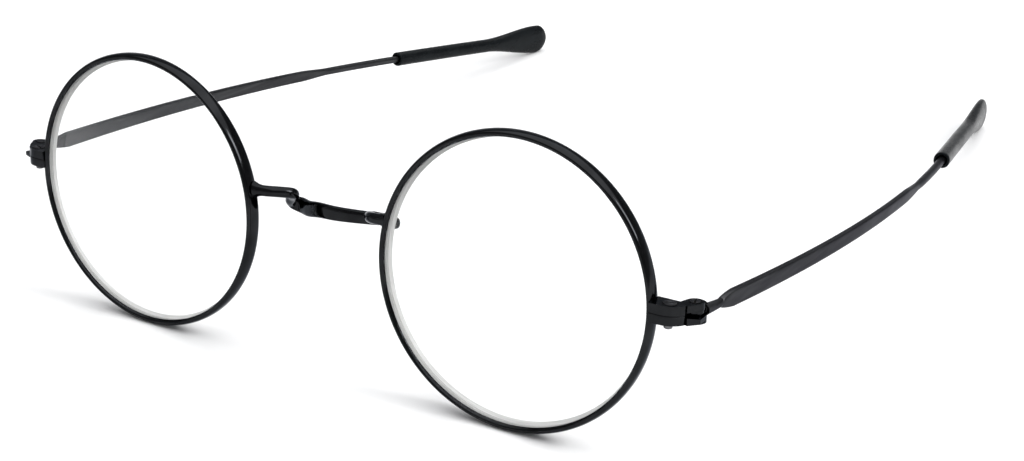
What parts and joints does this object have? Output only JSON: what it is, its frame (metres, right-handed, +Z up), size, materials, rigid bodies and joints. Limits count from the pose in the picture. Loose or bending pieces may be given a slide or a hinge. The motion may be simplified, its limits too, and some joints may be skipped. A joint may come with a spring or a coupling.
{
  "type": "reading glasses",
  "caption": "Round wire-framed reading glasses with a looped saddle bridge, screwed rim clamps, slender hinged sides that fold flat and plastic end tips.",
  "frame": {"origin": "on the table under the middle of the glasses: halfway between left and right, halfway between the lenses and the end tips", "axes": "+X to the wearer's left, +Y back along the open sides towards the ears, +Z up from the table that the open glasses rest on"},
  "size_m": [0.1284, 0.1608, 0.043],
  "materials": {
    "black_enamel": "glossy black enamel",
    "side_metal": "satin black",
    "dark_metal": "satin dark grey",
    "black_plastic": "polished black",
    "lens": "polished clear"
  },
  "bodies": {
    "front": {"bridge": "black_enamel", "left_rim": "black_enamel", "right_rim": "black_enamel", "left_lens": "lens", "right_lens": "lens", "left_end_block_upper": "black_enamel", "right_end_block_upper": "black_enamel", "left_end_block_lower": "black_enamel", "right_end_block_lower": "black_enamel", "left_rim_screw": "dark_metal", "right_rim_screw": "dark_metal", "left_front_hinge": "black_enamel", "right_front_hinge": "black_enamel", "left_hinge_screw": "dark_metal", "right_hinge_screw": "dark_metal"},
    "left_side": {"left_side_knuckle": "black_enamel", "left_side_wire": "side_metal", "left_end_tip": "black_plastic"},
    "right_side": {"right_side_knuckle": "black_enamel", "right_side_wire": "side_metal", "right_end_tip": "black_plastic"}
  },
  "joints": [
    {"name": "left_side_fold", "type": "hinge", "parent": "front", "child": "left_side", "pos_m": [0.059, -0.07405, 0.02261], "axis": [-0.0523, 0.0982, 0.9938], "range_deg": [0, 88]},
    {"name": "right_side_fold", "type": "hinge", "parent": "front", "child": "right_side", "pos_m": [-0.059, -0.07405, 0.02261], "axis": [-0.0523, -0.0982, -0.9938], "range_deg": [0, 84]}
  ]
}
